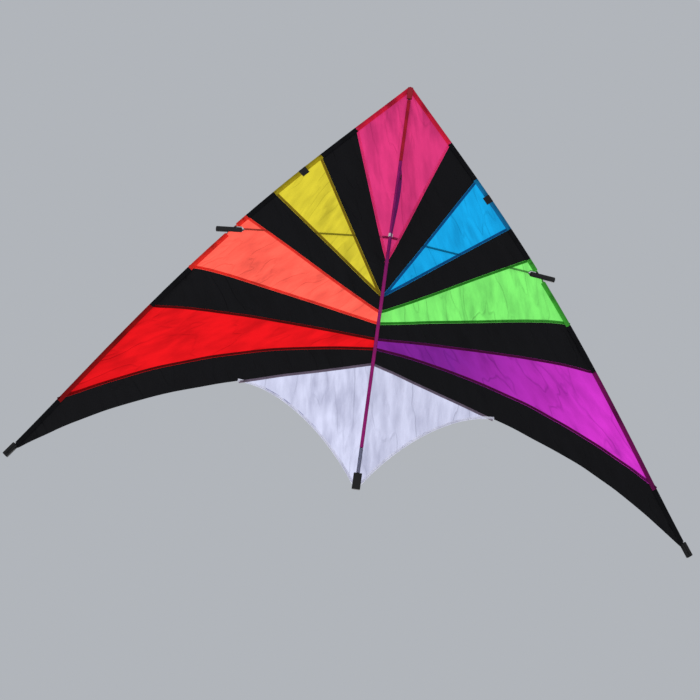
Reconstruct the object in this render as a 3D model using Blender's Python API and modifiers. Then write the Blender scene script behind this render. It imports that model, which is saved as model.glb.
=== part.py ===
"""Delta kite: a spine, two bowed leading edges, a two-piece spreader, a panelled sail and a keel.

Metres, +Z up. The nose points along +Y and the keel hangs down. The origin is the centre of the
tow eyelet in the keel, where the flying line is clipped. Each wing is flat and is drawn in its own
plane, in three numbers: w outwards from the spine, y back from the nose, h up from the wing's plane.
"""

import math

import bmesh
import bpy
from mathutils import Matrix, Vector, geometry

# Driving dimensions
DIHEDRAL = math.radians(14.0)
TOW_BACK = 0.520  # the tow eyelet lies this far behind the nose
TOW_DROP = 0.2320  # and this far below the axis on which the wings fold
SPINE_LENGTH = 1.733
WING_REACH = 1.443  # from spine to wing tip, along the wing
WING_BACK = 1.718  # from nose to wing tip, along the spine
EDGE_BOW = 0.069  # how far the leading edge bows out of its chord

# Cloth
CLOTH = 0.001
SEAM_GAP = 0.00025  # each panel stops this far short of a seam
SHEET_H = -0.0123  # the sail lies just under the spreader
SHEET_INNER = -0.0022  # the panels' inner edge, which all but meets the other wing's

# Rods and their sleeves
ROD_R = 0.004
ROD_H = -0.0058  # height of the leading edge rods and the spreader
ROD_INSET = 0.007  # from the sail's front edge to the rod inside it
SHEET_INSET = 0.0135  # from the sail's front edge to the flat part of the sail
SLEEVE_R = 0.007
SLEEVE_WALL = 0.001
FERRULE_R = 0.0054
FERRULE_WALL = 0.001
FERRULE_HALF = 0.040
ROD_JOINT_GAP = 0.0005

# Leading edge stations, measured along its chord from the nose
EDGE_LENGTH = math.hypot(WING_REACH, WING_BACK)
EDGE_SLEEVE_START = 0.060
EDGE_ROD_START = 0.075
EDGE_ROD_SPLIT = 1.300
EDGE_WRAP = 0.570
WRAP_LENGTH = 0.033
WRAP_R = 0.0086
WRAP_WALL = 0.0012
WRAP_FLAP = 0.028  # from the rod inwards to the end of the wrap's flap
TIP_POCKET_LENGTH = 0.062

# Spreader and the connectors that hold its ends
SPREADER_BACK = 0.682  # behind the nose
SPREADER_INNER = 0.0002
CONNECTOR_STATION = 0.9528  # on the leading edge's chord
CONNECTOR_R = 0.0115
CONNECTOR_IN = 0.041
CONNECTOR_OUT = 0.066
CONNECTOR_CLEAR = 0.029  # the sleeve stays open this far either side of the connector
BORE_R = 0.0044
SPREADER_STOP = 0.0105  # pushed right in, the spreader ends this far short of the leading edge rod
SPREADER_TRAVEL = 0.012
COLLAR_LENGTH = 0.050
COLLAR_R = 0.0055

# Spine, its pockets and the keel, in height below the wings' fold axis
SPINE_H = -0.0223
NOSE_POCKET = (0.022, 0.052, 0.0148)
NOSE_POCKET_BACK = 0.016  # its front end lies this far behind the nose
TAIL_POCKET = (0.032, 0.064, 0.0150)
UPPER_SLEEVE = (0.076, 0.352)
LOWER_SLEEVE = (0.354, 1.568)
END_SLEEVE = (1.570, 1.667)
SPINE_SPLIT = 0.870
TIE_LENGTH = 0.014
KEEL_HINGE_H = -0.0320
KEEL_BASE = (0.360, 0.800)
KEEL_APEX_R = 0.018
KEEL_CLOTH = 0.0012
EYELET_HOLE_R = 0.006
EYELET_BARREL_R = 0.0078
EYELET_FLANGE_R = 0.0120
EYELET_FLANGE = 0.0012
EYELET_FIT = 0.0003

# Each seam runs from the spine to the leading edge: (y at the spine, station on the leading edge,
# the two handles that bend it, as (w, y), or none for a straight seam)
SEAMS = (
    (0.801, 0.2895, ()),
    (0.937, 0.4720, ()),
    (0.945, 0.7217, ()),
    (1.003, 0.8690, ()),
    (1.062, 1.1900, ((0.45, 0.933), (0.73, 0.860))),
    (1.118, 1.4076, ((0.45, 1.046), (0.77, 1.018))),
    (1.168, 1.9408, ((0.45, 1.163), (0.87, 1.262))),
)
TRAILING_EDGE = ((0.0, 1.222), (0.85, 1.390), (0.99, 1.415), (WING_REACH, WING_BACK))
TAIL_EDGE = ((0.535, 1.332), (0.370, 1.345), (0.160, 1.500), (0.014, 1.712))

SIDES = {"right": 1, "left": -1}
PANEL_COLOURS = {
    "right": ("pink", "black", "yellow", "black", "coral", "black", "red", "black"),
    "left": ("pink", "black", "blue", "black", "green", "black", "purple", "black"),
}
PALETTE = {  # base colour, roughness, metallic
    "pink": ((0.68, 0.03, 0.19), 0.55, 0.0),
    "black": ((0.008, 0.008, 0.010), 0.60, 0.0),
    "yellow": ((0.62, 0.56, 0.03), 0.55, 0.0),
    "coral": ((0.90, 0.08, 0.06), 0.55, 0.0),
    "red": ((0.62, 0.006, 0.008), 0.55, 0.0),
    "blue": ((0.01, 0.33, 0.75), 0.55, 0.0),
    "green": ((0.12, 0.72, 0.10), 0.55, 0.0),
    "purple": ((0.30, 0.02, 0.42), 0.55, 0.0),
    "white": ((0.55, 0.56, 0.78), 0.60, 0.0),
    "keel_purple": ((0.19, 0.01, 0.17), 0.55, 0.0),
    "nose_red": ((0.35, 0.008, 0.02), 0.55, 0.0),
    "carbon": ((0.02, 0.02, 0.022), 0.30, 0.0),
    "vinyl": ((0.010, 0.010, 0.012), 0.45, 0.0),
    "aluminium": ((0.75, 0.76, 0.78), 0.30, 1.0),
    "eyelet_black": ((0.030, 0.028, 0.028), 0.35, 1.0),
    "webbing": ((0.009, 0.009, 0.010), 0.75, 0.0),
}


def clear_scene():
    for old in list(bpy.data.objects):
        bpy.data.objects.remove(old)


def new_collection(name):
    made = bpy.data.collections.new(name)
    bpy.context.scene.collection.children.link(made)
    return made


def finish_of(name):
    """The Principled material of this name, made once."""
    if name in bpy.data.materials:
        return bpy.data.materials[name]
    colour, roughness, metallic = PALETTE[name]
    made = bpy.data.materials.new(name)
    made.use_nodes = True
    shader = made.node_tree.nodes["Principled BSDF"]
    shader.inputs["Base Color"].default_value = (*colour, 1.0)
    shader.inputs["Roughness"].default_value = roughness
    shader.inputs["Metallic"].default_value = metallic
    made.diffuse_color = (*colour, 1.0)
    return made


def place(name, data, finish, parent, location=(0, 0, 0), rotation=(0, 0, 0)):
    """One named object in the kite's collection, hung on its parent."""
    data.materials.append(finish_of(finish))
    made = bpy.data.objects.new(name, data)
    bpy.data.collections["delta_kite"].objects.link(made)
    made.parent = parent
    made.location = location
    made.rotation_euler = rotation
    return made


def pivot(name, parent=None, location=(0, 0, 0), rotation=(0, 0, 0)):
    """An empty on a joint's axis."""
    made = bpy.data.objects.new(name, None)
    bpy.data.collections["delta_kite"].objects.link(made)
    made.parent = parent
    made.location = location
    made.rotation_euler = rotation
    return made


def bezier(points, count):
    """Points along a cubic Bezier curve, as 2D vectors."""
    first, out, back, last = (Vector(p) for p in points)
    return [Vector(p) for p in geometry.interpolate_bezier(first, out, back, last, count)]


def edge_point(station, inset=0.0):
    """(w, y) on the leading edge, moved inwards by inset. It bows out most just ahead of its middle."""

    def bowed(s):
        along = min(max(s / EDGE_LENGTH, 0.0), 1.0)
        bow = EDGE_BOW * abs(math.sin(math.pi * along**0.9)) ** 1.25
        chord = Vector((WING_REACH, WING_BACK)) / EDGE_LENGTH
        return chord * s + Vector((chord.y, -chord.x)) * bow

    step = 0.001
    tangent = (bowed(station + step) - bowed(station - step)).normalized()
    outward = Vector((tangent.y, -tangent.x))
    return bowed(station) - outward * inset


def edge_tangent(station):
    step = 0.001
    return (edge_point(station + step) - edge_point(station - step)).normalized()


def edge_run(start, end, inset, count):
    return [edge_point(start + (end - start) * i / (count - 1), inset) for i in range(count)]


def on_wing(side, point, h=0.0):
    """A point of the wing's plane in the axes of that wing's pivot."""
    return Vector((side * point[0], TOW_BACK - point[1], h))


def inset_outline(points, distance):
    """A closed outline with every side moved inwards."""
    area = sum(a.x * b.y - b.x * a.y for a, b in zip(points, points[1:] + points[:1]))
    turn = 1.0 if area > 0 else -1.0
    moved = []
    for before, here, after in zip(points[-1:] + points[:-1], points, points[1:] + points[:1]):
        first = (here - before).normalized()
        second = (after - here).normalized()
        inward_a = Vector((-first.y, first.x)) * turn
        inward_b = Vector((-second.y, second.x)) * turn
        bisector = (inward_a + inward_b).normalized()
        reach = distance / max(bisector.dot(inward_a), 0.25)
        moved.append(here + bisector * reach)
    return moved


def plate(name, outlines, thickness, finish, parent, location=(0, 0, 0), rotation=(0, 0, 0)):
    """A flat piece of cloth: a filled 2D curve, thick by its extrude. Later outlines are holes."""
    curve = bpy.data.curves.new(name, "CURVE")
    curve.dimensions = "2D"
    curve.fill_mode = "BOTH"
    curve.extrude = thickness / 2
    for outline in outlines:
        spline = curve.splines.new("POLY")
        spline.points.add(len(outline) - 1)
        for point, at in zip(spline.points, outline):
            point.co = (at[0], at[1], 0.0, 1.0)
        spline.use_cyclic_u = True
    return place(name, curve, finish, parent, location, rotation)


def rod(name, path, radius, finish, parent):
    """A solid rod along a path, with its ends closed."""
    curve = bpy.data.curves.new(name, "CURVE")
    curve.dimensions = "3D"
    curve.bevel_depth = radius
    curve.bevel_resolution = 2
    curve.use_fill_caps = True
    spline = curve.splines.new("POLY")
    spline.points.add(len(path) - 1)
    for point, at in zip(spline.points, path):
        point.co = (*at, 1.0)
    return place(name, curve, finish, parent)


def tube(name, path, radius, wall, finish, parent):
    """A tube along a path, open at both ends: the skin of a rod, thickened inwards."""
    guide = rod(name + "_guide", path, radius, finish, parent)
    guide.data.use_fill_caps = False
    bpy.context.view_layer.update()
    evaluated = guide.evaluated_get(bpy.context.evaluated_depsgraph_get())
    mesh = bpy.data.meshes.new_from_object(evaluated)
    bpy.data.objects.remove(guide)
    mesh.name = name
    mesh.materials.clear()
    mesh.shade_smooth()
    made = place(name, mesh, finish, parent)
    shell = made.modifiers.new("wall", "SOLIDIFY")
    shell.thickness = wall
    shell.offset = -1.0
    return made


def cylinder_mesh(name, radius, length, sides):
    mesh = bpy.data.meshes.new(name)
    shape = bmesh.new()
    bmesh.ops.create_cone(
        shape, cap_ends=True, segments=sides, radius1=radius, radius2=radius, depth=length
    )
    shape.to_mesh(mesh)
    shape.free()
    return mesh


def bore(target, name, radius, length, location, rotation, sides=12):
    """Cuts a round hole through target. The cutter lies in target's parent's axes."""
    cutter = bpy.data.objects.new(name, cylinder_mesh(name, radius, length, sides))
    bpy.data.collections["cutters"].objects.link(cutter)
    cutter.parent = target.parent
    cutter.location = location
    cutter.rotation_euler = rotation
    cutter.hide_render = True
    cutter.display_type = "WIRE"
    cut = target.modifiers.new(name, "BOOLEAN")
    cut.operation = "DIFFERENCE"
    cut.solver = "EXACT"
    cut.object = cutter


def pocket(name, size, finish, parent, location, rotation, bore_depth):
    """A folded webbing pocket: a rounded block, with a blind hole from its +Y end for a rod."""
    width, length, thickness = size
    mesh = bpy.data.meshes.new(name)
    shape = bmesh.new()
    bmesh.ops.create_cube(shape, size=1.0)
    bmesh.ops.scale(shape, vec=(width, length, thickness), verts=shape.verts)
    shape.to_mesh(mesh)
    shape.free()
    made = place(name, mesh, finish, parent, location, rotation)
    edge = made.modifiers.new("rounded", "BEVEL")
    edge.width = 0.0025
    edge.segments = 2
    turned = made.rotation_euler.to_matrix()
    overrun = 0.010
    middle = Vector((0, length / 2 - bore_depth / 2 + overrun / 2, 0))
    lying = (turned @ Vector((0, 0, 1)).rotation_difference(Vector((0, 1, 0))).to_matrix()).to_euler()
    bore(
        made, name + "_bore", ROD_R + 0.001, bore_depth + overrun,
        Vector(location) + turned @ middle, lying,
    )
    return made


def seam_points(index):
    """A seam from the spine outwards to the flat sail's front edge."""
    spine_y, station, handles = SEAMS[index]
    start = Vector((SHEET_INNER, spine_y))
    end = edge_point(station, SHEET_INSET)
    if not handles:
        return [start, end]
    return bezier((start, *handles, end), 10)


def connector_notch():
    """The sail's cut-out round a connector, in outline order from the nose towards the tip."""
    rod_at = edge_point(CONNECTOR_STATION, ROD_INSET)
    half = CONNECTOR_R + 0.003
    inner = rod_at.x - CONNECTOR_IN - 0.012
    return [
        edge_point(CONNECTOR_STATION - 0.032, SHEET_INSET),
        Vector((inner, SPREADER_BACK - half)),
        Vector((inner, SPREADER_BACK + half)),
        edge_point(CONNECTOR_STATION + 0.030, ROD_INSET + 0.018),
        edge_point(CONNECTOR_STATION + 0.034, SHEET_INSET),
    ]


def panel_outline(index):
    """Panel 0 is at the nose, and panel 7 holds the trailing edge."""
    first_station = 0.024 if index == 0 else SEAMS[index - 1][1]
    if index == 7:
        front = edge_run(first_station, EDGE_LENGTH - TIP_POCKET_LENGTH - 0.004, SHEET_INSET, 8)
        trailing = bezier(TRAILING_EDGE, 22)
        inside = [p for p in trailing if (p - trailing[-1]).length > TIP_POCKET_LENGTH + 0.030]
        back = inside[::-1]
        back[-1] = Vector((SHEET_INNER, TRAILING_EDGE[0][1]))
    else:
        last_station = SEAMS[index][1]
        if first_station < CONNECTOR_STATION < last_station:
            ahead = edge_run(first_station, CONNECTOR_STATION - 0.040, SHEET_INSET, 2)
            behind = edge_run(CONNECTOR_STATION + 0.042, last_station, SHEET_INSET, 5)
            front = ahead + connector_notch() + behind
        else:
            front = edge_run(first_station, last_station, SHEET_INSET, 6)
        back = seam_points(index)[:-1][::-1]
    ahead = [Vector((SHEET_INNER, front[0].y))] if index == 0 else seam_points(index - 1)[:-1]
    return inset_outline(ahead + front + back, SEAM_GAP)


def tail_outline():
    """The white tail panel's half, from the spine along the trailing edge and back along its own."""
    top = [p for p in bezier(TRAILING_EDGE, 22) if 0.0 < p.x < TAIL_EDGE[0][0] - 0.01]
    edge = bezier(TAIL_EDGE, 12)
    foot = [Vector((SHEET_INNER, TAIL_EDGE[-1][1]))]
    return inset_outline([Vector((SHEET_INNER, TRAILING_EDGE[0][1])), *top, *edge, *foot], SEAM_GAP)


def make_sail(side_name, side, wing):
    colours = PANEL_COLOURS[side_name]
    for index, colour in enumerate(colours):
        outline = [on_wing(side, p) for p in panel_outline(index)]
        name = f"{side_name}_panel_{index + 1}_{colour}"
        plate(name, [outline], CLOTH, colour, wing, (0, 0, SHEET_H))
    outline = [on_wing(side, p) for p in tail_outline()]
    plate(f"{side_name}_tail_panel", [outline], CLOTH, "white", wing, (0, 0, SHEET_H))


def edge_path(side, start, end, count):
    return [on_wing(side, p, ROD_H) for p in edge_run(start, end, ROD_INSET, count)]


def make_leading_edge(side_name, side, wing):
    """The bowed rod in two lengths, its ferrule, its sleeve, the wrap and the pocket at the tip."""
    gap = ROD_JOINT_GAP
    tip_rod = EDGE_LENGTH - 0.012
    sleeve_end = EDGE_LENGTH - TIP_POCKET_LENGTH - 0.003
    rods = (
        ("upper", EDGE_ROD_START, EDGE_ROD_SPLIT - gap),
        ("lower", EDGE_ROD_SPLIT + gap, tip_rod),
    )
    for part, start, end in rods:
        path = edge_path(side, start, end, 13)
        rod(f"{side_name}_leading_edge_{part}_rod", path, ROD_R, "carbon", wing)
    ferrule = edge_path(side, EDGE_ROD_SPLIT - FERRULE_HALF, EDGE_ROD_SPLIT + FERRULE_HALF, 3)
    name = f"{side_name}_leading_edge_ferrule"
    tube(name, ferrule, FERRULE_R, FERRULE_WALL, "aluminium", wing)
    sleeves = (
        ("upper", EDGE_SLEEVE_START, CONNECTOR_STATION - CONNECTOR_CLEAR),
        ("lower", CONNECTOR_STATION + CONNECTOR_CLEAR, sleeve_end),
    )
    for part, start, end in sleeves:
        path = edge_path(side, start, end, 15)
        name = f"{side_name}_leading_edge_{part}_sleeve"
        tube(name, path, SLEEVE_R, SLEEVE_WALL, "black", wing)
    make_wrap(side_name, side, wing)
    make_tip_pocket(side_name, side, wing)


def make_wrap(side_name, side, wing):
    """A band of webbing round the sleeve, sewn down as a flap under the sail."""
    low = -WRAP_R + WRAP_WALL
    join = math.pi + math.asin(-low / WRAP_R)
    steps = 18
    outline = [Vector((-WRAP_FLAP, -WRAP_R))]
    for i in range(steps + 1):
        angle = -math.pi / 2 + (join + math.pi / 2) * i / steps
        outline.append(Vector((math.cos(angle), math.sin(angle))) * WRAP_R)
    outline.append(Vector((-WRAP_FLAP, low)))
    turns = [2 * math.pi * i / 20 for i in range(20)]
    hole = [Vector((math.cos(a), math.sin(a))) * (WRAP_R - WRAP_WALL) for a in turns]
    along = edge_tangent(EDGE_WRAP)
    outward = Vector((side * along.y, along.x, 0))
    up = Vector((0, 0, 1))
    turn = Matrix((outward, up, outward.cross(up))).transposed().to_euler()
    middle = on_wing(side, edge_point(EDGE_WRAP, ROD_INSET), ROD_H)
    name = f"{side_name}_edge_wrap"
    plate(name, [outline, hole], WRAP_LENGTH, "webbing", wing, middle, turn)


def make_tip_pocket(side_name, side, wing):
    middle = edge_point(EDGE_LENGTH - TIP_POCKET_LENGTH / 2, ROD_INSET)
    along = edge_tangent(EDGE_LENGTH - TIP_POCKET_LENGTH / 2)
    turn = side * math.atan2(along.x, along.y)
    size = (0.026, TIP_POCKET_LENGTH - 0.001, 0.0145)
    pocket(
        f"{side_name}_tip_pocket", size, "webbing", wing,
        on_wing(side, middle, ROD_H), (0, 0, turn), TIP_POCKET_LENGTH - 0.008,
    )


def make_spreader(side_name, side, wing):
    """Half of the spreader: it slides a little way out along itself, into its connector."""
    rod_at = edge_point(CONNECTOR_STATION, ROD_INSET)
    slide = pivot(f"{side_name}_spreader_slide", wing, on_wing(side, rod_at, ROD_H))

    def line(start, end):
        return [Vector((side * (w - rod_at.x), 0, 0)) for w in (start, end)]

    outer = rod_at.x - SPREADER_STOP - SPREADER_TRAVEL
    rod(f"{side_name}_spreader_rod", line(SPREADER_INNER, outer), ROD_R, "carbon", slide)
    collar = line(SPREADER_INNER, SPREADER_INNER + COLLAR_LENGTH)
    tube(f"{side_name}_spreader_collar", collar, COLLAR_R, 0.0011, "aluminium", slide)
    make_connector(side_name, side, wing, rod_at)


def make_connector(side_name, side, wing, rod_at):
    """A thick vinyl tube, bored along for the spreader and across for the leading edge rod."""
    name = f"{side_name}_spreader_connector"
    length = CONNECTOR_IN + CONNECTOR_OUT
    middle = on_wing(side, (rod_at.x + (CONNECTOR_OUT - CONNECTOR_IN) / 2, rod_at.y), ROD_H)
    lying = (0, math.pi / 2, 0)
    body = place(name, cylinder_mesh(name, CONNECTOR_R, length, 20), "vinyl", wing, middle, lying)
    body.data.shade_smooth()
    edge = body.modifiers.new("rounded", "BEVEL")
    edge.width = 0.001
    edge.segments = 2
    edge.limit_method = "ANGLE"
    along = on_wing(side, edge_tangent(CONNECTOR_STATION)) - on_wing(side, (0, 0))
    edge_turn = Vector((0, 0, 1)).rotation_difference(along).to_euler()
    bore(body, name + "_bore", BORE_R, length + 0.02, middle, lying)
    bore(body, name + "_cross", BORE_R, 4 * CONNECTOR_R, on_wing(side, rod_at, ROD_H), edge_turn)


def spine_line(start, end):
    return [Vector((0, TOW_BACK - y, TOW_DROP + SPINE_H)) for y in (start, end)]


def make_spine():
    """The rod down the middle in two lengths, its ferrule, its sleeves and the pockets at its ends."""
    nose_length = NOSE_POCKET[1]
    tail_length = TAIL_POCKET[1]
    rod_start = NOSE_POCKET_BACK + 0.010
    rod_end = SPINE_LENGTH - 0.010
    rod("spine_upper_rod", spine_line(rod_start, SPINE_SPLIT - ROD_JOINT_GAP), ROD_R, "carbon", None)
    rod("spine_lower_rod", spine_line(SPINE_SPLIT + ROD_JOINT_GAP, rod_end), ROD_R, "carbon", None)
    ferrule = spine_line(SPINE_SPLIT - FERRULE_HALF, SPINE_SPLIT + FERRULE_HALF)
    tube("spine_ferrule", ferrule, FERRULE_R, FERRULE_WALL, "aluminium", None)
    tube("spine_upper_sleeve", spine_line(*UPPER_SLEEVE), SLEEVE_R, SLEEVE_WALL, "pink", None)
    tube("spine_lower_sleeve", spine_line(*LOWER_SLEEVE), SLEEVE_R, SLEEVE_WALL, "keel_purple", None)
    tube("spine_end_sleeve", spine_line(*END_SLEEVE), SLEEVE_R, SLEEVE_WALL, "white", None)
    tie = spine_line(SPREADER_BACK - TIE_LENGTH / 2, SPREADER_BACK + TIE_LENGTH / 2)
    tube("centre_tie", tie, WRAP_R, WRAP_WALL, "white", None)
    height = TOW_DROP + SPINE_H
    nose_at = (0, TOW_BACK - NOSE_POCKET_BACK - nose_length / 2, height)
    pocket("nose_pocket", NOSE_POCKET, "nose_red", None, nose_at, (0, 0, math.pi), nose_length - 0.008)
    tail_at = (0, TOW_BACK - SPINE_LENGTH + tail_length / 2, height)
    pocket("tail_pocket", TAIL_POCKET, "webbing", None, tail_at, (0, 0, 0), tail_length - 0.006)


def make_keel(hinge):
    """The triangular fin under the spine, and the eyelet at its lowest corner."""
    front = Vector((TOW_BACK - KEEL_BASE[0], -0.0004))
    rear = Vector((TOW_BACK - KEEL_BASE[1], -0.0004))
    eye = Vector((0.0, -TOW_DROP - KEEL_HINGE_H))
    to_front = (front - eye).normalized()
    to_rear = (rear - eye).normalized()
    start = math.atan2(-to_front.x, to_front.y)  # the front side's outward normal
    end = math.atan2(to_rear.x, -to_rear.y)  # the rear side's outward normal
    steps = 8
    apex = []
    for i in range(steps + 1):
        angle = start + (end - start) * i / steps
        apex.append(eye + Vector((math.cos(angle), math.sin(angle))) * KEEL_APEX_R)
    hole_r = EYELET_BARREL_R + EYELET_FIT
    hole = [
        eye + Vector((math.cos(a), math.sin(a))) * hole_r
        for a in (2 * math.pi * i / 20 for i in range(20))
    ]
    upright = (math.pi / 2, 0, math.pi / 2)
    plate("keel_fin", [[front, *apex, rear], hole], KEEL_CLOTH, "keel_purple", hinge, (0, 0, 0), upright)
    make_eyelet(hinge, eye)


def make_eyelet(hinge, eye):
    """A grommet: a barrel through the cloth and a flange each side, turned round the hole's axis."""
    inner = KEEL_CLOTH / 2 + EYELET_FIT
    outer = inner + EYELET_FLANGE
    profile = (
        (EYELET_FLANGE_R, outer), (EYELET_FLANGE_R, inner), (EYELET_BARREL_R - EYELET_FIT, inner),
        (EYELET_BARREL_R - EYELET_FIT, -inner), (EYELET_FLANGE_R, -inner),
        (EYELET_FLANGE_R, -outer), (EYELET_HOLE_R, -outer), (EYELET_HOLE_R, outer),
    )
    mesh = bpy.data.meshes.new("tow_eyelet")
    count = len(profile)
    sides = [(i, (i + 1) % count) for i in range(count)]
    mesh.from_pydata([(x, 0, z) for x, z in profile], sides, [])
    upright = (0, math.pi / 2, 0)
    made = place("tow_eyelet", mesh, "eyelet_black", hinge, (0, eye.x, eye.y), upright)
    turn = made.modifiers.new("turned", "SCREW")
    turn.steps = 20
    turn.render_steps = 20
    turn.use_merge_vertices = True
    turn.merge_threshold = 0.00005


def make_kite():
    clear_scene()
    new_collection("delta_kite")
    new_collection("cutters")
    make_spine()
    make_keel(pivot("keel_hinge", None, (0, 0, TOW_DROP + KEEL_HINGE_H)))
    for side_name, side in SIDES.items():
        wing = pivot(f"{side_name}_wing_hinge", None, (0, 0, TOW_DROP), (0, -side * DIHEDRAL, 0))
        make_sail(side_name, side, wing)
        make_leading_edge(side_name, side, wing)
        make_spreader(side_name, side, wing)


make_kite()
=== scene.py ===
import math
import bmesh
import bpy
from mathutils import Matrix, Vector, geometry, noise

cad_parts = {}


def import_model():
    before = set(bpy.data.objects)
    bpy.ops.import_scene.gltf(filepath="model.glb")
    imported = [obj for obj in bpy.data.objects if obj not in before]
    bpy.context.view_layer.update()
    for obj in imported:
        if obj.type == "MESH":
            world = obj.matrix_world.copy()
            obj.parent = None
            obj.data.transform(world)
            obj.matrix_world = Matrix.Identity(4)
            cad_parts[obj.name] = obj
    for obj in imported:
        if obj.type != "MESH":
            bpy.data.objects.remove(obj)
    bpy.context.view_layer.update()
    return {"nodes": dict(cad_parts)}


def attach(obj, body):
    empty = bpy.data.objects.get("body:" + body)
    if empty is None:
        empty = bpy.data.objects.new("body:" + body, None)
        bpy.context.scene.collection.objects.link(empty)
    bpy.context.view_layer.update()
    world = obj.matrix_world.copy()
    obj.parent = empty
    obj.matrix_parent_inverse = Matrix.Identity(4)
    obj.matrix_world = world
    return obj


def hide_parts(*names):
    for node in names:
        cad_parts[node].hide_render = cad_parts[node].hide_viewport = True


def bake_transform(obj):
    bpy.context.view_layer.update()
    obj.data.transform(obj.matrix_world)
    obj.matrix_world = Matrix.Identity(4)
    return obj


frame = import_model()
# plain sRGB, which keeps the cloth's colours saturated
bpy.context.scene.view_settings.view_transform = "Standard"

# The kite's plan, in metres, as in the CAD: w out from the spine, y back from the nose, h up
DIHEDRAL = math.radians(14.0)
TOW_BACK = 0.520
TOW_DROP = 0.2320
REACH = 1.443
BACK = 1.718
EDGE_BOW = 0.069
EDGE = math.hypot(REACH, BACK)
ROD_INSET = 0.007
ROD_H = -0.0058
SHEET_H = -0.0123
SPREADER = 0.682
SEAMS = [  # y at the spine, station on the leading edge, and the curve's two handles if it isn't straight
    (0.0, 0.0, ()),
    (0.801, 0.2895, ()),
    (0.937, 0.4720, ()),
    (0.945, 0.7217, ()),
    (1.003, 0.8690, ()),
    (1.062, 1.1900, ((0.45, 0.933), (0.73, 0.860))),
    (1.118, 1.4076, ((0.45, 1.046), (0.77, 1.018))),
    (1.168, 1.9408, ((0.45, 1.163), (0.87, 1.262))),
    (1.222, EDGE, ((0.85, 1.390), (0.99, 1.415))),
]
TRAILING_STEPS = 200
TAIL_REACH = 0.536  # how far out the tail panel is sewn to the trailing edge
TAIL_EDGE = ((0.535, 1.332), (0.370, 1.345), (0.160, 1.500), (0.014, 1.712))  # the curve of its free edge
TIP_CLEAR = 0.060  # the last panel stops this far from the tip
HEM = 0.0102
HEM_UNDER = 0.0007  # a hem lies this far under the cloth
WELD = 0.00002

# The sleeves round the leading edge rods; stations run along the edge's chord
SLEEVE_R = 0.0070
SLEEVE_EASE = 0.0008
SLEEVE_FLAP = 0.0175
SLEEVE_TURN = 1.72  # how far the cloth goes round the rod, in half turns
SLEEVE_SIDES = 14
SLEEVE_START = 0.010
SLEEVE_END = EDGE - 0.066
CONNECTOR = 0.9528
CONNECTOR_GAP = 0.029  # the sleeve stops this far each side of the connector
NOTCH_REACH = 0.056  # the cloth is cut away this far in from the rod, in a point
NOTCH_POINT = 0.012
NOTCH_HALF = 0.0122
NOTCH_PAST = 0.06

# The keel, from KEEL_FRONT to KEEL_END behind the nose
KEEL_FRONT = 0.360
KEEL_END = 0.800
KEEL_TOP = TOW_DROP - 0.0320 - 0.0004
KEEL_TIP_R = 0.018
KEEL_TIP_Z = -0.0179
EYELET_HOLE = 0.0080

# Cloth
RIPSTOP_STEP = 0.0052
RIPSTOP_THREAD = 0.0007
# painted shade in the cloth's creases; the same tint also darkens the ripstop grid a little
CREASE_SHADE_AND_GRID_TINT = (0.58, 0.58, 0.62)
THREAD_TINT = (0.35, 0.35, 0.35)
WEAR_TINT = (0.7, 0.7, 0.7)
GLOW = 0.82  # the share of the light that goes through
BLACK_GLOW = 0.06
EDGE_GLOW = 0.3

# The stage, with angles in degrees
FLOOR_Z = -6.6
CAMERA_DISTANCE = 6.0
CAMERA_TURN = 1.5
CAMERA_LIFT = 18
CAMERA_ROLL = 8.1
SENSOR = 36.0
VIEW_WIDTH = 2.88
VIEW_TRIM = 1.045

SIDES = {"right": 1, "left": -1}
COLOURS = {
    "right": ("pink", "black", "yellow", "black", "coral", "black", "red", "black"),
    "left": ("pink", "black", "blue", "black", "green", "black", "purple", "black"),
}
CLOTH = {
    "pink": (0.585, 0.033, 0.158), "black": (0.0036, 0.0036, 0.0050), "yellow": (0.57, 0.48, 0.031),
    "coral": (0.95, 0.110, 0.075), "red": (0.66, 0.006, 0.009), "blue": (0.007, 0.325, 0.660),
    "green": (0.190, 0.750, 0.140), "purple": (0.185, 0.015, 0.25), "white": (0.53, 0.54, 0.69),
}
# painted shade: most hems are darker copies of their panel's cloth, standing in for the doubled cloth
# letting less light through
HEM_CLOTH = {  # the doubled cloth along the seams
    "pink": (0.92, 0.055, 0.26), "yellow": (0.26, 0.18, 0.010), "coral": (0.85, 0.055, 0.038),
    "red": (0.10, 0.001, 0.002), "blue": (0.003, 0.11, 0.28), "green": (0.030, 0.23, 0.020),
    "purple": (0.10, 0.002, 0.055), "white": (0.17, 0.13, 0.17),
}
# painted shade: most sleeves are darker copies of their panel's cloth, standing in for the doubled cloth
# and the rod's shadow inside it; the tail's free edge is a brighter white
EDGE_CLOTH = {  # the cloth folded round the leading edge rods, and the tail's free edge
    "pink": (0.78, 0.014, 0.060), "black": (0.004, 0.004, 0.006), "yellow": (0.42, 0.33, 0.010),
    "coral": (0.82, 0.030, 0.020), "red": (0.30, 0.003, 0.004), "blue": (0.006, 0.20, 0.42),
    "green": (0.060, 0.42, 0.040), "purple": (0.20, 0.004, 0.11), "white": (0.80, 0.80, 0.93),
}
FOLD_TURN = {  # which way the creases run in each colour's cloth
    "pink_ripstop": 0.25, "yellow_ripstop": -0.5, "blue_ripstop": 0.5, "coral_ripstop": -0.9,
    "green_ripstop": 0.35, "red_ripstop": -1.1, "purple_ripstop": 0.75, "white_ripstop": 0.1,
}
CREASE_SHADE_STRENGTH = {  # how dark the painted shade along each colour's sharp creases is
    "purple_ripstop": 0.75, "blue_ripstop": 0.50, "green_ripstop": 0.45, "white_ripstop": 0.22,
    "coral_ripstop": 0.22, "red_ripstop": 0.25,
}
OUTER_COLOUR = {"purple_ripstop": (0.60, 0.033, 0.52)}  # the colour towards the tip


def clamp01(value):
    return min(max(value, 0.0), 1.0)


def ease(value, low, high):
    """A smooth step from 0 at low to 1 at high."""
    t = clamp01((value - low) / (high - low))
    return t * t * (3 - 2 * t)


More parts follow.
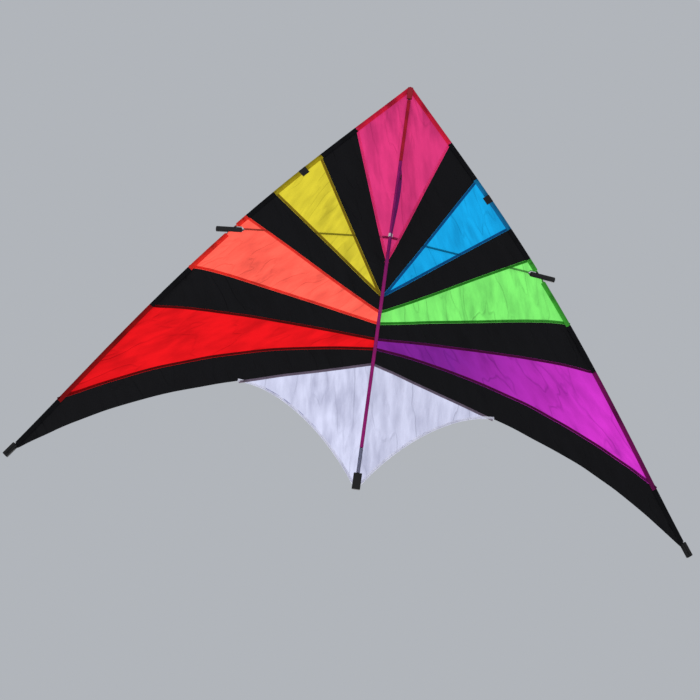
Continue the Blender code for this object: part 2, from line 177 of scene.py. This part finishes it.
def edge_point(station, inset=0.0):
    """A point of the sail's bowed leading edge, at a station, moved in from it by inset."""
    def bowed(s):
        along = clamp01(s / EDGE)
        bow = EDGE_BOW * abs(math.sin(math.pi * along**0.9)) ** 1.25
        chord = Vector((REACH, BACK)) / EDGE
        return chord * s + Vector((chord.y, -chord.x)) * bow

    tangent = (bowed(station + 0.001) - bowed(station - 0.001)).normalized()
    return bowed(station) - Vector((tangent.y, -tangent.x)) * inset


def edge_tangent(station):
    return (edge_point(station + 0.001) - edge_point(station - 0.001)).normalized()


def world(side, w, y, h):
    """A point of one wing in the row frame."""
    c, s = math.cos(DIHEDRAL), math.sin(DIHEDRAL)
    return Vector((side * (w * c - h * s), TOW_BACK - y, TOW_DROP + w * s + h * c))


def cloth_point(side, w, y, h):
    """As world(), with the last of the cloth drawn in so that the two wings meet over the spine."""
    return world(side, w + SHEET_H * math.tan(DIHEDRAL) * (1 - clamp01(w / 0.02)), y, h)


# ---- materials ----

def link(tree, a, b):
    tree.links.new(a, b)


def maths(tree, operation, a, b=None, c=None):
    node = tree.nodes.new("ShaderNodeMath")
    node.operation = operation
    for socket, value in zip(node.inputs, (a, b, c)):
        if value is None:
            continue
        if isinstance(value, (int, float)):
            socket.default_value = value
        else:
            link(tree, value, socket)
    return node.outputs[0]


def noise_of(tree, vector, scale, detail=3.0):
    node = tree.nodes.new("ShaderNodeTexNoise")
    node.inputs["Scale"].default_value = scale
    node.inputs["Detail"].default_value = detail
    link(tree, vector, node.inputs["Vector"])
    return node.outputs["Fac"]


def new_material(name):
    made = bpy.data.materials.new(name)
    made.use_nodes = True
    return made, made.node_tree, made.node_tree.nodes["Principled BSDF"]


def stitch_mask(tree, uv):
    """A row of zigzag stitches along u, which is in metres, between 0.28 and 0.43 of the way along v."""
    split = tree.nodes.new("ShaderNodeSeparateXYZ")
    link(tree, uv, split.inputs[0])
    zig = maths(tree, "PINGPONG", split.outputs["X"], 0.0025)
    across = maths(tree, "MULTIPLY_ADD", zig, 60.0, 0.28)
    near = maths(tree, "ABSOLUTE", maths(tree, "SUBTRACT", split.outputs["Y"], across))
    return maths(tree, "LESS_THAN", near, 0.035)


def map_range(tree, value, low, high, falling=False):
    """Value as a share of the way from low to high, or from high to low."""
    node = tree.nodes.new("ShaderNodeMapRange")
    node.inputs["From Min"].default_value = low
    node.inputs["From Max"].default_value = high
    if falling:
        node.inputs["To Min"].default_value = 1.0
        node.inputs["To Max"].default_value = 0.0
    link(tree, value, node.inputs["Value"])
    return node.outputs[0]


def tinted(tree, colour, tint):
    """A node that multiplies colour by tint, by as much as its Fac says."""
    node = tree.nodes.new("ShaderNodeMixRGB")
    node.blend_type = "MULTIPLY"
    node.inputs["Color1"].default_value = (*colour, 1.0)
    node.inputs["Color2"].default_value = (*tint, 1.0)
    return node


def bump_of(tree, height, strength, distance):
    node = tree.nodes.new("ShaderNodeBump")
    node.inputs["Strength"].default_value = strength
    node.inputs["Distance"].default_value = distance
    link(tree, height, node.inputs["Height"])
    return node


def ripstop_grid(tree, split):
    """The thicker threads, which cross each other every RIPSTOP_STEP."""
    lines = []
    for axis in ("X", "Y"):
        step = maths(tree, "PINGPONG", split.outputs[axis], RIPSTOP_STEP / 2)
        lines.append(maths(tree, "LESS_THAN", step, RIPSTOP_THREAD / 2))
    return maths(tree, "MAXIMUM", lines[0], lines[1])


def fade_outwards(tree, name, colour, split, streak, ramp):
    """The colour shifts along the span, from the spine to the tip."""
    span = maths(tree, "ABSOLUTE", split.outputs["X"])
    far = map_range(tree, maths(tree, "MULTIPLY_ADD", streak, 0.35, span), 0.45, 1.20)
    outer = tree.nodes.new("ShaderNodeMixRGB")
    outer.inputs["Color1"].default_value = (*colour, 1.0)
    outer.inputs["Color2"].default_value = (*OUTER_COLOUR[name], 1.0)
    link(tree, far, outer.inputs["Fac"])
    link(tree, outer.outputs["Color"], ramp.inputs["Color1"])


def let_light_through(tree, shader, shade, normal, glow):
    through = tree.nodes.new("ShaderNodeBsdfTranslucent")
    link(tree, shade, through.inputs["Color"])
    link(tree, normal, through.inputs["Normal"])
    mix = tree.nodes.new("ShaderNodeMixShader")
    mix.inputs["Fac"].default_value = glow
    link(tree, shader.outputs[0], mix.inputs[1])
    link(tree, through.outputs[0], mix.inputs[2])
    link(tree, mix.outputs[0], tree.nodes["Material Output"].inputs["Surface"])


def cloth_material(name, colour, glow, stitched=False):
    """Ripstop: a fine raised grid in a thin, creased sheet, with painted shade along its creases, that lets
    a share of the light through.
    """
    made, tree, shader = new_material(name)
    texture = tree.nodes.new("ShaderNodeTexCoord")
    where = texture.outputs["Object"]
    tone = noise_of(tree, where, 3.5)
    fine = noise_of(tree, where, 420.0, 1.0)
    split = tree.nodes.new("ShaderNodeSeparateXYZ")
    link(tree, where, split.inputs[0])
    grid = ripstop_grid(tree, split)
    ramp = tinted(tree, colour, CREASE_SHADE_AND_GRID_TINT)
    turned = tree.nodes.new("ShaderNodeMapping")
    turned.inputs["Rotation"].default_value = (0.0, 0.0, FOLD_TURN.get(name, 0.6))
    link(tree, where, turned.inputs["Vector"])
    folds = tree.nodes.new("ShaderNodeMapping")
    folds.inputs["Scale"].default_value = (1.0, 0.22, 1.0)
    link(tree, turned.outputs[0], folds.inputs["Vector"])
    streak = noise_of(tree, folds.outputs[0], 26.0, 4.0)
    ridge = noise_of(tree, folds.outputs[0], 11.0, 2.5)
    ridge = maths(tree, "ABSOLUTE", maths(tree, "SUBTRACT", ridge, 0.5))
    sharp = map_range(tree, ridge, 0.0, 0.022, falling=True)
    folded = maths(tree, "MULTIPLY_ADD", sharp, 0.35, streak)
    # painted shade: patches along the creases and sharp dark lines on them darken the cloth's colour
    spread = map_range(tree, streak, 0.38, 0.66)
    crease_shade_patches = maths(tree, "MULTIPLY", spread, maths(tree, "MULTIPLY_ADD", tone, 1.6, -0.25))
    crease_shade_lines = maths(tree, "MULTIPLY", sharp, maths(tree, "MULTIPLY_ADD", tone, 1.4, -0.30))
    crease_shade_and_grid = maths(tree, "ADD", crease_shade_patches, maths(tree, "MULTIPLY", grid, 0.12))
    crease_shade_and_grid = maths(tree, "MULTIPLY_ADD", crease_shade_lines, 0.9 * CREASE_SHADE_STRENGTH.get(name, 0.3), crease_shade_and_grid)
    crease_shade_and_grid.node.use_clamp = True
    link(tree, crease_shade_and_grid, ramp.inputs["Fac"])
    shade = ramp.outputs["Color"]
    if name in OUTER_COLOUR:
        fade_outwards(tree, name, colour, split, streak, ramp)
    height = maths(tree, "MULTIPLY_ADD", grid, 0.25, maths(tree, "MULTIPLY", fine, 0.35))
    creases = bump_of(tree, folded, 0.9, 0.005)
    if stitched:
        stitches = stitch_mask(tree, texture.outputs["UV"])
        thread = tinted(tree, colour, THREAD_TINT)
        link(tree, stitches, thread.inputs["Fac"])
        link(tree, shade, thread.inputs["Color1"])
        shade = thread.outputs["Color"]
        height = maths(tree, "MULTIPLY_ADD", stitches, 1.0, height)
    bump = bump_of(tree, height, 0.35, 0.0006)
    link(tree, creases.outputs["Normal"], bump.inputs["Normal"])
    link(tree, shade, shader.inputs["Base Color"])
    link(tree, bump.outputs["Normal"], shader.inputs["Normal"])
    shader.inputs["Roughness"].default_value = 0.60
    shader.inputs["Specular IOR Level"].default_value = 0.10
    let_light_through(tree, shader, shade, bump.outputs["Normal"], glow)
    made.diffuse_color = (*colour, 1.0)
    return made


def hard_material(name, colour, roughness, metallic=0.0, grain=300.0, depth=0.0001, weave=False):
    """Rod, tube, metal or webbing: a fine grain, uneven wear and, on webbing, a ribbed weave."""
    made, tree, shader = new_material(name)
    texture = tree.nodes.new("ShaderNodeTexCoord")
    speckle = noise_of(tree, texture.outputs["Object"], grain)
    wear = noise_of(tree, texture.outputs["Object"], 18.0)
    ramp = tinted(tree, colour, WEAR_TINT)
    link(tree, wear, ramp.inputs["Fac"])
    link(tree, ramp.outputs["Color"], shader.inputs["Base Color"])
    height = speckle
    if weave:
        wave = tree.nodes.new("ShaderNodeTexWave")
        wave.inputs["Scale"].default_value = 180.0
        wave.inputs["Distortion"].default_value = 1.0
        link(tree, texture.outputs["Object"], wave.inputs["Vector"])
        height = maths(tree, "ADD", speckle, wave.outputs["Fac"])
    bump = bump_of(tree, height, 0.3, depth)
    link(tree, bump.outputs["Normal"], shader.inputs["Normal"])
    rough = maths(tree, "MULTIPLY_ADD", wear, 0.15, roughness - 0.07)
    link(tree, rough, shader.inputs["Roughness"])
    shader.inputs["Metallic"].default_value = metallic
    shader.inputs["Specular IOR Level"].default_value = 0.5 if metallic else 0.22
    made.diffuse_color = (*colour, 1.0)
    return made


MATS = {}
for cloth_name, plain in CLOTH.items():
    glow = BLACK_GLOW if cloth_name == "black" else GLOW
    MATS[cloth_name] = cloth_material(cloth_name + "_ripstop", plain, glow)
for cloth_name, doubled in HEM_CLOTH.items():
    MATS[cloth_name + "_hem"] = cloth_material(cloth_name + "_hem", doubled, GLOW / 2, stitched=True)
for cloth_name, folded_edge in EDGE_CLOTH.items():
    MATS[cloth_name + "_edge"] = cloth_material(cloth_name + "_edge", folded_edge, EDGE_GLOW, stitched=True)
MATS["keel_purple"] = cloth_material("keel_ripstop", (0.17, 0.012, 0.15), 0.30)
# painted shade: the upper spine sleeve is pink cloth, painted dark red for the doubled cloth and the rod's
# shadow in it
MATS["spine_pink_shaded"] = cloth_material("spine_sleeve_pink_shaded", (0.50, 0.014, 0.035), 0.25)
MATS["spine_purple"] = cloth_material("spine_sleeve_ripstop", (0.33, 0.012, 0.17), 0.15)
MATS["carbon"] = hard_material("carbon_rod", (0.018, 0.018, 0.020), 0.28)
MATS["vinyl"] = hard_material("black_vinyl", (0.010, 0.010, 0.012), 0.62, grain=900.0)
MATS["aluminium"] = hard_material("satin_aluminium", (0.72, 0.73, 0.75), 0.32, 1.0)
MATS["eyelet_black"] = hard_material("black_eyelet", (0.030, 0.028, 0.028), 0.35, 1.0)
MATS["webbing"] = hard_material("black_webbing", (0.010, 0.010, 0.011), 0.75, depth=0.0004, weave=True)
MATS["nose_red"] = hard_material("red_webbing", (0.33, 0.012, 0.025), 0.75, depth=0.0004, weave=True)
MATS["tie_white"] = hard_material("white_webbing", (0.72, 0.72, 0.74), 0.75, depth=0.0003, weave=True)


# ---- mesh helpers ----

def add_object(name, data):
    made = bpy.data.objects.new(name, data)
    bpy.context.scene.collection.objects.link(made)
    return made


def grid_object(name, rows, material):
    """A sheet from rows of points of equal length, with u in metres along a row and v across the rows."""
    mesh = bpy.data.meshes.new(name)
    count = len(rows[0])
    points = [tuple(p) for row in rows for p in row]
    faces = []
    for i in range(len(rows) - 1):
        for j in range(count - 1):
            a = i * count + j
            faces.append((a, a + 1, a + count + 1, a + count))
    mesh.from_pydata(points, [], faces)
    mesh.update()
    mesh.shade_smooth()
    layer = mesh.uv_layers.new(name="UVMap")
    flat = []
    for i, row in enumerate(rows):
        run = 0.0
        for j, p in enumerate(row):
            if j:
                run += (Vector(p) - Vector(row[j - 1])).length
            flat.append((run, i / (len(rows) - 1)))
    for loop in mesh.loops:
        layer.data[loop.index].uv = flat[loop.vertex_index]
    mesh.materials.append(material)
    return add_object(name, mesh)


def plan_area(rows):
    """The flat area of a grid of plan points, before the wind fills the cloth."""
    total = 0.0
    for near, far in zip(rows, rows[1:]):
        for k in range(len(near) - 1):
            total += geometry.area_tri(near[k], near[k + 1], far[k + 1])
            total += geometry.area_tri(near[k], far[k + 1], far[k])
    return total


def line_length(points):
    return sum((b - a).length for a, b in zip(points, points[1:]))


def weld(obj):
    """Joins the points that meet where a panel comes to a point."""
    shape = bmesh.new()
    shape.from_mesh(obj.data)
    bmesh.ops.remove_doubles(shape, verts=shape.verts, dist=WELD)
    shape.to_mesh(obj.data)
    shape.free()


# ---- the sail ----

def handles_of(index):
    """The two Bezier handles of a seam's curve."""
    y0, station, handles = SEAMS[index]
    start = Vector((0.0, y0))
    end = edge_point(station)
    if handles:
        return [Vector(h) for h in handles]
    return [start.lerp(end, 1 / 3), start.lerp(end, 2 / 3)]


def sail_line(v, count):
    """The line across one wing at v: 0 at the nose, 1 at the first seam and 8 at the trailing edge."""
    index = min(int(v), 7)
    t = v - index
    y0 = SEAMS[index][0] * (1 - t) + SEAMS[index + 1][0] * t
    station = SEAMS[index][1] * (1 - t) + SEAMS[index + 1][1] * t
    low, high = handles_of(index), handles_of(index + 1)
    start = Vector((0.0, y0))
    end = edge_point(station, ROD_INSET)
    first = low[0].lerp(high[0], t)
    last = low[1].lerp(high[1], t)
    line = geometry.interpolate_bezier(start.to_3d(), first.to_3d(), last.to_3d(), end.to_3d(), count)
    return [Vector((p.x, p.y)) for p in line]


def billow(side, s, w, y):
    """How far the wind lifts the cloth above its flat plane, and the creases in it."""
    away = ease(abs(y - SPREADER), 0.035, 0.30)
    full = 0.030 if y > SPREADER else 0.012
    lift = full * away * math.sin(math.pi * clamp01(s)) ** 0.9
    fixed = ease(w, 0.004, 0.10) * (1.0 - ease(s, 0.93, 1.0))
    diagonal = (w * 0.78 + y * 0.62) * 9.0
    cross = (w * 0.62 - y * 0.78) * 2.2
    seed = 3.7 if side > 0 else 8.1
    crease = noise.noise(Vector((diagonal, cross, seed)))
    broad = noise.noise(Vector((w * 3.0, y * 3.5, seed + 20.0)))
    fan = noise.noise(Vector((s * 3.0, (y - 0.25 * w) * 34.0, seed + 40.0)))
    wave = (0.0042 * crease + 0.0060 * broad + 0.0016 * fan) * fixed * (0.15 + 0.85 * away)
    return lift + wave


def sail_height(side, s, w, y):
    """The filled cloth's height above the wing's plane; s runs from 0 at the spine to 1 at the edge."""
    raised = SHEET_H + billow(side, s, w, y)
    # over the last stretch the cloth runs tangent to the underside of the sleeve
    return raised * (1 - ease(s, 0.955, 1.0)) + (ROD_H - SLEEVE_R - 0.0004) * ease(s, 0.955, 1.0)


def make_panel(side_name, side, index, colour):
    """One panel, between the seams index and index + 1; the first starts just behind the nose."""
    start = 0.006 if index == 0 else float(index)
    ends = float(index + 1)
    rows_n = (22, 12, 16, 10, 18, 10, 26, 14)[index]
    cols_n = 66 if index < 4 else 90
    rows = []
    plan = []
    for i in range(rows_n + 1):
        v = start + (ends - start) * i / rows_n
        line = sail_line(v, cols_n)
        row = []
        cut = []
        for j, p in enumerate(line):
            s = j / (cols_n - 1)
            if v > 7.0:
                # the last panel stops at the tip pocket
                tip = edge_point(EDGE, ROD_INSET)
                gap = (p - tip).length
                if 1e-6 < gap < TIP_CLEAR:
                    p = tip + (p - tip).normalized() * TIP_CLEAR
            cut.append(p)
            row.append(cloth_point(side, p.x, p.y, sail_height(side, s, p.x, p.y)))
        rows.append(row)
        plan.append(cut)
    obj = grid_object(f"{side_name}_cloth_{index + 1}_{colour}", rows, MATS[colour])
    if index == 4:
        cut_notch(obj, side)
    finish_sheet(obj, plan)
    return obj


def cut_notch(obj, side):
    """Cuts the cloth away, in a point, where the connector passes through it."""
    centre = edge_point(CONNECTOR, ROD_INSET)
    inner, outer = centre.x - NOTCH_REACH, centre.x + NOTCH_PAST
    outline = [(inner, 0.0), (inner + NOTCH_POINT, -NOTCH_HALF), (outer, -NOTCH_HALF),
               (outer, NOTCH_HALF), (inner + NOTCH_POINT, NOTCH_HALF)]
    corners = [world(side, w, centre.y + d, h) for h in (-0.06, 0.06) for w, d in outline]
    n = len(outline)
    faces = [tuple(range(n)), tuple(range(2 * n - 1, n - 1, -1))]
    faces += [(k, k + n, (k + 1) % n + n, (k + 1) % n) for k in range(n)]
    mesh = bpy.data.meshes.new("notch")
    mesh.from_pydata(corners, [], faces)
    shape = bmesh.new()
    shape.from_mesh(mesh)
    bmesh.ops.recalc_face_normals(shape, faces=shape.faces)
    planes = [(f.calc_center_median().copy(), f.normal.copy()) for f in shape.faces]
    shape.free()
    bpy.data.meshes.remove(mesh)
    shape = bmesh.new()
    shape.from_mesh(obj.data)
    for centre_of, normal in planes:
        near = [f for f in shape.faces if all_near(f, planes)]
        geom = near + list({e for f in near for e in f.edges}) + list({v for f in near for v in f.verts})
        bmesh.ops.bisect_plane(shape, geom=geom, plane_co=centre_of, plane_no=normal, dist=1e-6)
    gone = [f for f in shape.faces
            if all((f.calc_center_median() - c).dot(nrm) < 0 for c, nrm in planes)]
    bmesh.ops.delete(shape, geom=gone, context="FACES")
    shape.to_mesh(obj.data)
    shape.free()


def all_near(face, planes):
    """True where a face reaches into the cutter, or close to it."""
    return all(min((v.co - c).dot(n) for v in face.verts) < 0.002 for c, n in planes)


def blend_to_wing(obj):
    """Bakes the object's transform into its mesh."""
    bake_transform(obj)


def finish_sheet(obj, plan):
    """Welds a panel, works out the flat area of its plan, which owes nothing to the filled mesh, and bakes
    its transform.
    """
    weld(obj)
    area = plan_area(plan)
    blend_to_wing(obj)


def offset_line(points, distance):
    """The line moved sideways in the plan; plus is towards the tail on a line that runs outwards."""
    out = []
    for i, p in enumerate(points):
        a = points[max(i - 1, 0)]
        b = points[min(i + 1, len(points) - 1)]
        d = (b - a).normalized()
        out.append(p + Vector((-d.y, d.x)) * distance)
    return out


def make_hem(side_name, side, index, v, inward, colour):
    """A doubled hem along a seam, just under the cloth. inward is +1 towards the tail."""
    count = 90
    line = sail_line(v, count)
    rows = []
    for k in (0.0, 1.0):
        shifted = offset_line(line, inward * (0.0005 + HEM * k))
        row = []
        for j, p in enumerate(shifted):
            s = j / (count - 1)
            q = line[j]
            h = sail_height(side, s, q.x, q.y) - HEM_UNDER
            row.append(cloth_point(side, p.x, p.y, h))
        rows.append(row)
    name = f"{side_name}_hem_{index}_{colour}"
    hem = grid_object(name, rows, MATS[colour + "_hem"])
    blend_to_wing(hem)


def tail_line(t, count):
    """A row of the tail panel, as (point, how far along the trailing edge its column starts)."""
    low, high = handles_of(8)
    start = Vector((0.0, SEAMS[8][0], 0.0))
    tip = edge_point(EDGE, ROD_INSET).to_3d()
    trailing = geometry.interpolate_bezier(start, low.to_3d(), high.to_3d(), tip, TRAILING_STEPS)
    top = [Vector((p.x, p.y)) for p in trailing if p.x <= TAIL_REACH]
    edge = geometry.interpolate_bezier(*[Vector((*p, 0)) for p in TAIL_EDGE], 60)
    bottom = [Vector((p.x, p.y)) for p in reversed(edge)]
    out = []
    for j in range(count):
        s = j / (count - 1)
        at = s * (len(top) - 1)
        bottom_at = s * (len(bottom) - 1)
        k, m = min(int(at), len(top) - 2), min(int(bottom_at), len(bottom) - 2)
        a = top[k].lerp(top[k + 1], at - k)
        b = bottom[m].lerp(bottom[m + 1], bottom_at - m)
        out.append((a.lerp(b, t), at / (TRAILING_STEPS - 1)))
    return out


def make_tail(side_name, side):
    """One half of the white tail panel, with a hem on its free edge and a band along its seam."""
    rows = []
    plan = []
    count = 50
    for i in range(21):
        t = i / 20
        line = tail_line(t, count)
        plan.append([p for p, at in line])
        rows.append([cloth_point(side, p.x if j else 0.0, p.y, SHEET_H + billow(side, at, p.x, p.y))
                     for j, (p, at) in enumerate(line)])
    obj = grid_object(f"{side_name}_cloth_tail_white", rows, MATS["white"])
    finish_sheet(obj, plan)
    for name, t, inward, look in (("edge", 1.0, -1.0, "white_edge"), ("band", 0.0, 1.0, "white_hem")):
        line = tail_line(t, count)
        hem_rows = []
        for k in (0.0, 1.0):
            moved = offset_line([p for p, at in line], inward * HEM * k)
            hem_rows.append([cloth_point(side, p.x, p.y, SHEET_H + billow(side, at, q.x, q.y) - HEM_UNDER)
                             for p, (q, at) in zip(moved, line)])
        hem = grid_object(f"{side_name}_hem_tail_{name}", hem_rows, MATS[look])
        blend_to_wing(hem)
    return obj


def sleeve_ring(side, station):
    """The sail's edge folded round the leading edge rod: a flap under the cloth, then the loop."""
    centre = edge_point(station, ROD_INSET)
    along = edge_tangent(station)
    out = Vector((along.y, -along.x))
    flap = centre - out * SLEEVE_FLAP
    ring = [world(side, flap.x, flap.y, ROD_H - SLEEVE_R - 0.0014)]
    for k in range(SLEEVE_SIDES + 1):
        a = math.pi * (-0.5 + SLEEVE_TURN * k / SLEEVE_SIDES)
        uneven = noise.noise(Vector((station * 40.0, math.cos(a) * 1.5, math.sin(a) * 1.5)))
        r = (SLEEVE_R + SLEEVE_EASE) * (1.0 + 0.03 * uneven)
        p = centre + out * (r * math.cos(a))
        ring.append(world(side, p.x, p.y, ROD_H + r * math.sin(a)))
    return ring


def make_sleeves(side_name, side):
    """The sleeves of one leading edge, as (sleeve, which half of the edge it belongs to)."""
    made = []
    gap_low, gap_high = CONNECTOR - CONNECTOR_GAP, CONNECTOR + CONNECTOR_GAP
    for index, colour in enumerate(COLOURS[side_name]):
        start = SLEEVE_START if index == 0 else SEAMS[index][1]
        end = min(SEAMS[index + 1][1], SLEEVE_END)
        spans = [(start, end)]
        if start < CONNECTOR < end:
            spans = [(start, gap_low), (gap_high, end)]
        for part, (a, b) in enumerate(spans):
            steps = max(3, int((b - a) / 0.02))
            stations = [a + (b - a) * i / steps for i in range(steps + 1)]
            rings = [sleeve_ring(side, station) for station in stations]
            name = f"{side_name}_sleeve_{index + 1}{'ab'[part]}_{colour}"
            obj = grid_object(name, rings, MATS[colour + "_edge"])
            length = line_length([edge_point(station, ROD_INSET) for station in stations])
            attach(obj, f"{side_name}_wing")
            made.append((obj, "upper" if b < CONNECTOR else "lower"))
    return made


for side_name, side in SIDES.items():
    for index, colour in enumerate(COLOURS[side_name]):
        panel = make_panel(side_name, side, index, colour)
        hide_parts(f"{side_name}_panel_{index + 1}_{colour}")
        if colour == "black":
            continue
        if index > 0:
            make_hem(side_name, side, index * 2, float(index), 1.0, colour)
        make_hem(side_name, side, index * 2 + 1, float(index + 1), -1.0, colour)
    tail = make_tail(side_name, side)
    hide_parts(f"{side_name}_tail_panel")
    for sleeve, half in make_sleeves(side_name, side):
        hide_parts(f"{side_name}_leading_edge_{half}_sleeve")


# ---- the keel, and the looks of the CAD pieces that stay ----

def keel_side(foot):
    """How y runs down one side of the keel: straight from its foot, then round the tow eyelet."""
    sign = math.copysign(1.0, foot)
    length = math.hypot(foot, KEEL_TOP)
    touch = Vector((sign * KEEL_TOP, -abs(foot))) * (KEEL_TIP_R / length)

    def at(z):
        if z > touch.y:
            return touch.x + (foot - touch.x) * (z - touch.y) / (KEEL_TOP - touch.y)
        return sign * math.sqrt(max(KEEL_TIP_R**2 - z * z, 0.0))

    return at


def make_keel():
    """The fin, a little bellied and folded between its seam and the eyelet."""
    top = KEEL_TOP
    ahead = keel_side(TOW_BACK - KEEL_FRONT)
    behind = keel_side(TOW_BACK - KEEL_END)
    rows = []
    plan = []
    for i in range(41):
        z = top + (KEEL_TIP_Z - top) * math.sin(math.pi / 2 * i / 40)
        low, high = behind(z), ahead(z)
        row = []
        for j in range(61):
            y = low + (high - low) * j / 60
            belly = math.sin(math.pi * clamp01((top - z) / top)) * math.sin(math.pi * j / 60) ** 0.7
            fold = 0.0012 * noise.noise(Vector((y * 9.0, z * 7.0, 2.0)))
            free = ease(z, 0.02, 0.06) * ease(top - z, 0.0, 0.02)
            row.append(((fold - 0.011 * belly) * free, y, z))
        rows.append(row)
        plan.append([Vector((y, z)) for x, y, z in row])
    obj = grid_object("keel_cloth", rows, MATS["keel_purple"])
    shape = bmesh.new()
    shape.from_mesh(obj.data)
    gone = [f for f in shape.faces if f.calc_center_median().yz.length < EYELET_HOLE]
    bmesh.ops.delete(shape, geom=gone, context="FACES")
    shape.to_mesh(obj.data)
    shape.free()
    area = plan_area(plan) - math.pi * EYELET_HOLE**2
    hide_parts("keel_fin")
    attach(obj, "keel")


make_keel()

LOOKS = {
    "tow_eyelet": "eyelet_black", "nose_pocket": "nose_red", "tail_pocket": "webbing",
    "centre_tie": "tie_white",
    "spine_upper_rod": "carbon", "spine_lower_rod": "carbon", "spine_ferrule": "aluminium",
    "spine_upper_sleeve": "spine_pink_shaded", "spine_lower_sleeve": "spine_purple", "spine_end_sleeve": "white",
}
for side_name in SIDES:
    LOOKS[f"{side_name}_leading_edge_upper_rod"] = "carbon"
    LOOKS[f"{side_name}_leading_edge_lower_rod"] = "carbon"
    LOOKS[f"{side_name}_leading_edge_ferrule"] = "aluminium"
    LOOKS[f"{side_name}_edge_wrap"] = "webbing"
    LOOKS[f"{side_name}_tip_pocket"] = "webbing"
    LOOKS[f"{side_name}_spreader_rod"] = "carbon"
    LOOKS[f"{side_name}_spreader_collar"] = "aluminium"
    LOOKS[f"{side_name}_spreader_connector"] = "vinyl"
for node, look in LOOKS.items():
    obj = frame["nodes"][node]
    obj.data.materials.clear()
    obj.data.materials.append(MATS[look])


# ---- floor, light and camera ----

def make_floor():
    bpy.ops.mesh.primitive_plane_add(size=60.0, location=(0, 0, FLOOR_Z))
    floor = bpy.context.object
    floor.name = "floor"
    floor.data.materials.append(hard_material("pale_floor", (0.62, 0.62, 0.61), 0.8, grain=40.0))


def make_lights():
    """An even sky, a sun above the sail that shines through it, and a soft light from below."""
    sky = bpy.context.scene.world or bpy.data.worlds.new("studio")
    bpy.context.scene.world = sky
    sky.use_nodes = True
    background = sky.node_tree.nodes["Background"]
    background.inputs["Color"].default_value = (0.80, 0.84, 0.90, 1.0)
    background.inputs["Strength"].default_value = 0.55

    sun = bpy.data.lights.new("sun", "SUN")
    sun.energy = 3.6
    sun.angle = math.radians(2)
    add_object("sun", sun).rotation_euler = (math.radians(24), math.radians(-14), 0)

    fill = bpy.data.lights.new("fill", "AREA")
    fill.energy = 60.0
    fill.size = 5.0
    fill_obj = add_object("fill", fill)
    fill_obj.location = (1.5, -2.5, -4.5)
    aim = Vector((0, -0.6, 0.3)) - fill_obj.location
    fill_obj.rotation_euler = aim.to_track_quat("-Z", "Y").to_euler()


def make_camera():
    """Below the kite, looking up and a little forwards, and rolled about its own line of sight."""
    turn, lift = math.radians(CAMERA_TURN), math.radians(CAMERA_LIFT)
    forward = Vector((-math.sin(turn), math.sin(lift), math.cos(lift))).normalized()
    target = Vector((0.095, TOW_BACK - 1.172, TOW_DROP + 0.02))
    nose_up = (Vector((0, 1, 0)) - forward * forward.y).normalized()
    nose_right = forward.cross(nose_up)
    roll = math.radians(CAMERA_ROLL)
    up = nose_up * math.cos(roll) - nose_right * math.sin(roll)
    right = nose_right * math.cos(roll) + nose_up * math.sin(roll)
    lens = bpy.data.cameras.new("camera")
    lens.lens = SENSOR * CAMERA_DISTANCE / VIEW_WIDTH * VIEW_TRIM
    lens.sensor_width = SENSOR
    camera = add_object("camera", lens)
    axes = Matrix((right, up, -forward)).transposed().to_4x4()
    camera.matrix_world = Matrix.Translation(target - forward * CAMERA_DISTANCE) @ axes
    bpy.context.scene.camera = camera


make_floor()
make_lights()
make_camera()
